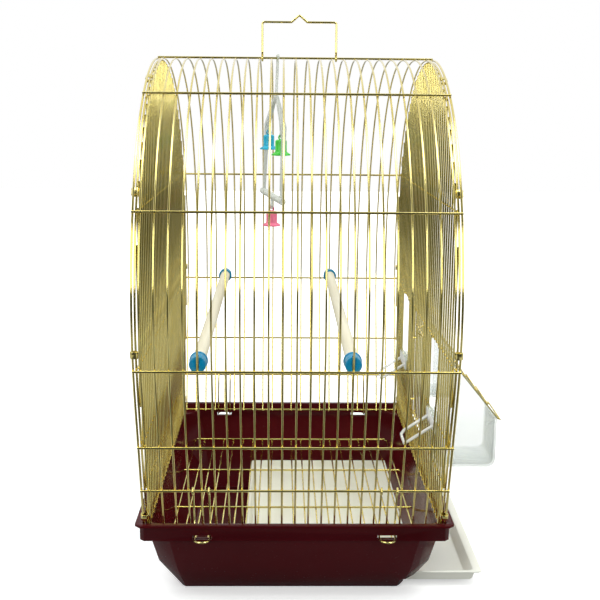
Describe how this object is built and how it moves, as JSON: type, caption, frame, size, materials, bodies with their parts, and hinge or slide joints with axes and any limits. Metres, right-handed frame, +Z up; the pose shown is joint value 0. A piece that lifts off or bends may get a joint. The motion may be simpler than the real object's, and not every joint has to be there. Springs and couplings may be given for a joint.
{
  "type": "bird cage",
  "caption": "Arched wire bird cage on a plastic base tub, with a slide-out tray, feeder cups under wire lids, perches, a swing with bells and a folding carrying handle.",
  "frame": {"origin": "centre of the base tub's flat underside", "axes": "+Z up, +X towards the side with the feeders, the door and the tray's mouth, Y along the perches"},
  "size_m": [0.3426, 0.463, 0.5466],
  "materials": {
    "gold_wire": "bright brass-plated steel wire",
    "maroon_plastic": "glossy moulded plastic, dark red",
    "cream_plastic": "satin moulded plastic, cream",
    "clear_plastic": "clear moulded plastic",
    "pale_plastic": "milky moulded plastic",
    "pale_wood": "bare sanded dowel",
    "cap_blue": "moulded plastic, blue",
    "bell_blue": "moulded plastic, light blue",
    "bell_green": "moulded plastic, green",
    "bell_pink": "moulded plastic, pink"
  },
  "bodies": {
    "root": {"base_tub": "maroon_plastic", "grate": "gold_wire", "wire_shell": "gold_wire", "panel_left": "gold_wire", "panel_right": "gold_wire", "perch_left": "pale_wood", "perch_right": "pale_wood", "feeder_cup_near": "clear_plastic", "feeder_cup_far": "clear_plastic", "perch_cap_left_near": "cap_blue", "perch_cap_left_far": "cap_blue", "perch_cap_right_near": "cap_blue", "perch_cap_right_far": "cap_blue", "clip_left_near_1": "gold_wire", "clip_left_near_2": "gold_wire", "clip_left_near_3": "gold_wire", "clip_left_near_4": "gold_wire", "clip_left_far_1": "gold_wire", "clip_left_far_2": "gold_wire", "clip_left_far_3": "gold_wire", "clip_left_far_4": "gold_wire", "clip_right_near_1": "gold_wire", "clip_right_near_2": "gold_wire", "clip_right_near_3": "gold_wire", "clip_right_near_4": "gold_wire", "clip_right_far_1": "gold_wire", "clip_right_far_2": "gold_wire", "clip_right_far_3": "gold_wire", "clip_right_far_4": "gold_wire"},
    "tray": {"tray": "cream_plastic"},
    "handle": {"handle": "gold_wire"},
    "swing": {"swing": "pale_plastic"},
    "door": {"door": "gold_wire"},
    "feeder_lid_near": {"feeder_lid_near": "gold_wire"},
    "feeder_lid_far": {"feeder_lid_far": "gold_wire"},
    "bell_blue": {"bell_blue": "bell_blue"},
    "bell_green": {"bell_green": "bell_green"},
    "bell_pink": {"bell_pink": "bell_pink"},
    "latch_left_near": {"latch_left_near": "gold_wire"},
    "latch_left_far": {"latch_left_far": "gold_wire"},
    "latch_right_near": {"latch_right_near": "gold_wire"},
    "latch_right_far": {"latch_right_far": "gold_wire"}
  },
  "joints": [
    {"name": "tray_slide", "type": "slide", "parent": "root", "child": "tray", "axis": [1, 0, 0], "range_m": [-0.059, 0.14]},
    {"name": "handle_fold", "type": "hinge", "parent": "root", "child": "handle", "pos_m": [0, 0, 0.503], "axis": [1, 0, 0], "range_deg": [-88, 88]},
    {"name": "swing_hinge", "type": "hinge", "parent": "root", "child": "swing", "pos_m": [-0.01815, 0, 0.503], "axis": [1, 0, 0], "range_deg": [-25, 25]},
    {"name": "bell_blue_hinge", "type": "hinge", "parent": "swing", "child": "bell_blue", "pos_m": [-0.02755, 0.0354, 0.42913], "axis": [0.9833, 0.1822, 0], "range_deg": [-35, 4]},
    {"name": "bell_green_hinge", "type": "hinge", "parent": "swing", "child": "bell_green", "pos_m": [-0.01451, -0.0354, 0.42682], "axis": [0.9833, 0.1822, 0], "range_deg": [-4, 35]},
    {"name": "bell_pink_hinge", "type": "hinge", "parent": "swing", "child": "bell_pink", "pos_m": [-0.02397, 0, 0.35141], "axis": [0.9833, 0.1822, 0], "range_deg": [-35, 35]},
    {"name": "latch_left_near_hinge", "type": "hinge", "parent": "root", "child": "latch_left_near", "pos_m": [-0.0854, -0.19658, 0.1146], "axis": [1, 0, 0], "range_deg": [0, 30]},
    {"name": "latch_left_far_hinge", "type": "hinge", "parent": "root", "child": "latch_left_far", "pos_m": [-0.0854, 0.19658, 0.1146], "axis": [-1, 0, 0], "range_deg": [0, 30]},
    {"name": "latch_right_near_hinge", "type": "hinge", "parent": "root", "child": "latch_right_near", "pos_m": [0.0854, -0.19658, 0.1146], "axis": [1, 0, 0], "range_deg": [0, 30]},
    {"name": "latch_right_far_hinge", "type": "hinge", "parent": "root", "child": "latch_right_far", "pos_m": [0.0854, 0.19658, 0.1146], "axis": [-1, 0, 0], "range_deg": [0, 30]},
    {"name": "feeder_lid_near_hinge", "type": "hinge", "parent": "root", "child": "feeder_lid_near", "pos_m": [0.1366, -0.11495, 0.23486], "axis": [0, -1, 0], "range_deg": [0, 120]},
    {"name": "feeder_lid_far_hinge", "type": "hinge", "parent": "root", "child": "feeder_lid_far", "pos_m": [0.1366, 0.11495, 0.23486], "axis": [0, -1, 0], "range_deg": [0, 120]},
    {"name": "door_hinge", "type": "hinge", "parent": "root", "child": "door", "pos_m": [0.1352, 0.0363, 0.1748], "axis": [0, 0, 1], "range_deg": [0, 110]}
  ]
}
